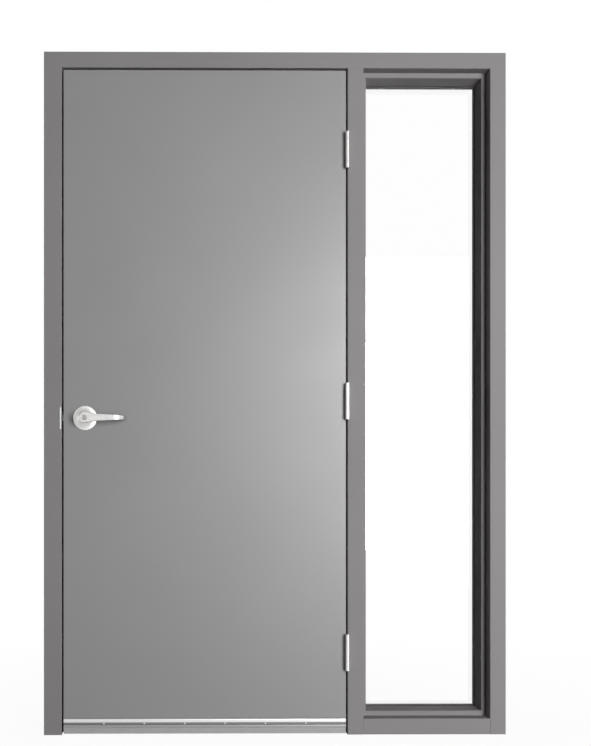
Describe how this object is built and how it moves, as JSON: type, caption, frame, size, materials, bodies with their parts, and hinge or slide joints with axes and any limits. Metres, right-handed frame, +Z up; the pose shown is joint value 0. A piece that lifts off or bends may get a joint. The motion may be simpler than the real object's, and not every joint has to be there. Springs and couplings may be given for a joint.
{
  "type": "steel door with frame and sidelite",
  "caption": "Flush hollow-metal door leaf on butt hinges with a lever lock and sweep, in a welded steel frame with a glazed sidelite.",
  "frame": {"origin": "on the floor at the middle of the mullion foot, at mid depth of the frame", "axes": "+X to the right seen from the pull side, +Y towards the push side, +Z up"},
  "size_m": [1.4795, 0.2319, 2.1844],
  "materials": {
    "frame_paint": "satin warm grey paint",
    "leaf_paint": "satin neutral grey paint",
    "satin_steel": "satin",
    "galvanized_steel": "galvanized",
    "mill_aluminium": "mill finish",
    "grey_vinyl": "matte",
    "dark_rubber": "matte",
    "clear_glass": "clear"
  },
  "bodies": {
    "frame": {"bottom_hinge_frame_leaf": "satin_steel", "bottom_hinge_pin": "satin_steel", "dust_box": "galvanized_steel", "floor_anchor_mullion": "galvanized_steel", "floor_anchor_sidelite_jamb": "galvanized_steel", "floor_anchor_strike_jamb": "galvanized_steel", "frame_hinge_reinforcements": "galvanized_steel", "frame_hinge_screws": "satin_steel", "glazing_stop_bottom": "frame_paint", "glazing_stop_left": "frame_paint", "glazing_stop_right": "frame_paint", "glazing_stop_screws": "satin_steel", "glazing_stop_top": "frame_paint", "glazing_tape_back": "dark_rubber", "glazing_tape_front": "dark_rubber", "head": "frame_paint", "middle_hinge_frame_leaf": "satin_steel", "middle_hinge_pin": "satin_steel", "mullion": "frame_paint", "setting_blocks": "dark_rubber", "sidelite_glass": "clear_glass", "sidelite_jamb": "frame_paint", "sidelite_sill": "frame_paint", "silencers": "dark_rubber", "strike_jamb": "frame_paint", "strike_plate": "satin_steel", "strike_reinforcement": "galvanized_steel", "strike_screws": "satin_steel", "top_hinge_frame_leaf": "satin_steel", "top_hinge_pin": "satin_steel", "wall_anchors_sidelite_jamb": "galvanized_steel", "wall_anchors_strike_jamb": "galvanized_steel"},
    "levers": {"outside_lever": "satin_steel", "inside_lever": "satin_steel", "spindle": "satin_steel"},
    "key_plug": {"key_plug": "satin_steel"},
    "latch": {"latch_bolt": "satin_steel", "retractor": "satin_steel"},
    "leaf": {"front_skin": "leaf_paint", "back_skin": "leaf_paint", "top_channel": "leaf_paint", "bottom_channel": "leaf_paint", "stiffeners": "galvanized_steel", "leaf_hinge_reinforcements": "galvanized_steel", "lock_reinforcement": "galvanized_steel", "lock_chassis": "satin_steel", "outside_rose": "satin_steel", "inside_rose": "satin_steel", "latch_case": "satin_steel", "latch_face_plate": "satin_steel", "face_plate_screws": "satin_steel", "door_hinge_screws": "satin_steel", "bottom_hinge_door_leaf": "satin_steel", "middle_hinge_door_leaf": "satin_steel", "top_hinge_door_leaf": "satin_steel", "sweep_retainer": "mill_aluminium", "sweep_seal": "grey_vinyl", "sweep_screws": "satin_steel"}
  },
  "joints": [
    {"name": "door_swing", "type": "hinge", "parent": "frame", "child": "leaf", "pos_m": [-0.0278, -0.10322, 0], "axis": [0, 0, 1], "range_deg": [0, 175]},
    {"name": "lever_turn", "type": "hinge", "parent": "leaf", "child": "levers", "pos_m": [-0.86515, -0.06195, 1.013], "axis": [0, 1, 0], "range_deg": [0, 45], "stiffness_Nm_per_rad": 1.2, "springref_deg": -34.38},
    {"name": "key_turn", "type": "hinge", "parent": "levers", "child": "key_plug", "pos_m": [-0.86515, -0.06195, 1.013], "axis": [0, 1, 0], "range_deg": [-90, 90]},
    {"name": "latch_slide", "type": "slide", "parent": "leaf", "child": "latch", "axis": [1, 0, 0], "range_m": [0, 0.0127], "stiffness_N_per_m": 150, "springref_m": -0.012}
  ],
  "couplings": [
    {"joint": "latch_slide", "follows": "lever_turn", "m_per_rad": 0.0161}
  ]
}
